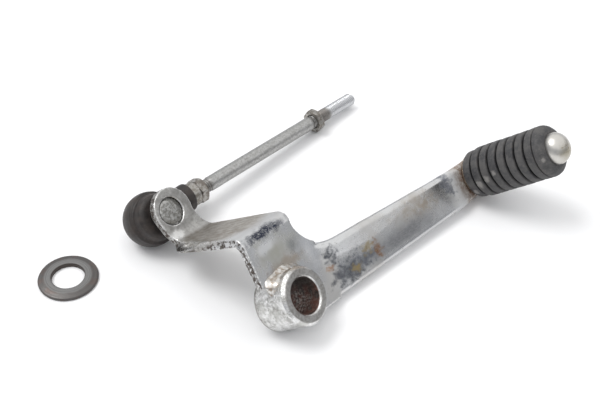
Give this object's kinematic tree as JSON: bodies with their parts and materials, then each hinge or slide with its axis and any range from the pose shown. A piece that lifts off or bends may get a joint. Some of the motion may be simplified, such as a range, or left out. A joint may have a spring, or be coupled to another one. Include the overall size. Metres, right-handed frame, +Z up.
{
  "type": "gear shift lever",
  "caption": "Motorcycle foot gear shift lever: stepped steel plate with a pivot boss, a ribbed rubber peg, a booted ball joint with a threaded linkage rod, and a loose pivot washer.",
  "frame": {"origin": "middle of the pivot bore, on its axis", "axes": "+Z up from the surface that the lever lies on, +X along the pedal arm's shadow towards the peg; the pivot axis is rolled 42.52 degrees up from that surface towards -Y, and the pedal arm falls 9.72 degrees towards the peg"},
  "size_m": [0.1757, 0.1472, 0.044],
  "materials": {
    "plate_chrome": "worn bright plating with brown haze and pits",
    "boss_chrome": "bright plating, heavily pitted",
    "weld_chrome": "plated weld bead, dull",
    "peg_steel": "polished dome",
    "peg_collar_steel": "dull, stained",
    "peg_rubber": "matt, scuffed",
    "stud_steel": "dull, mottled",
    "seat_plastic": "natural nylon",
    "housing_steel": "zinc plated, dull",
    "boot_rubber": "matt",
    "rod_zinc": "zinc plated, stained",
    "nut_steel": "darkened, brownish",
    "washer_steel": "worn grey"
  },
  "bodies": {
    "lever": {"lever_plate": "plate_chrome", "pivot_boss": "boss_chrome", "boss_weld_outer": "weld_chrome", "boss_weld_inner": "weld_chrome", "peg_pin": "peg_steel", "peg_collar": "peg_collar_steel", "peg_rubber": "peg_rubber", "ball_stud": "stud_steel"},
    "swivel_seat": {"ball_seat": "seat_plastic"},
    "housing": {"joint_housing": "housing_steel", "socket_cap": "housing_steel", "dust_boot": "boot_rubber"},
    "rod": {"link_rod": "rod_zinc"},
    "inner_nut": {"inner_locknut": "nut_steel"},
    "outer_nut": {"outer_locknut": "nut_steel"},
    "washer": {"pivot_washer": "washer_steel"}
  },
  "joints": [
    {"name": "ball_swivel", "type": "hinge", "parent": "lever", "child": "swivel_seat", "pos_m": [-0.00039, 0.0725, -0.00228], "axis": [0.1141, -0.737, 0.6661], "continuous": true},
    {"name": "ball_tilt", "type": "hinge", "parent": "swivel_seat", "child": "housing", "pos_m": [-0.00039, 0.0725, -0.00228], "axis": [-0.0951, -0.6756, -0.7311], "range_deg": [-20, 5]},
    {"name": "rod_turn", "type": "hinge", "parent": "housing", "child": "rod", "pos_m": [-0.00039, 0.0725, -0.00228], "axis": [0.9953, -0.0776, -0.0578], "continuous": true},
    {"name": "inner_nut_turn", "type": "hinge", "parent": "rod", "child": "inner_nut", "pos_m": [0.02579, 0.07046, -0.0038], "axis": [0.9953, -0.0776, -0.0578], "continuous": true},
    {"name": "outer_nut_turn", "type": "hinge", "parent": "rod", "child": "outer_nut", "pos_m": [0.09934, 0.06473, -0.00807], "axis": [0.9953, -0.0776, -0.0578], "continuous": true},
    {"name": "washer_lift", "type": "slide", "parent": "lever", "child": "washer", "axis": [0, 0, 1], "range_m": [0, 0.02]}
  ]
}
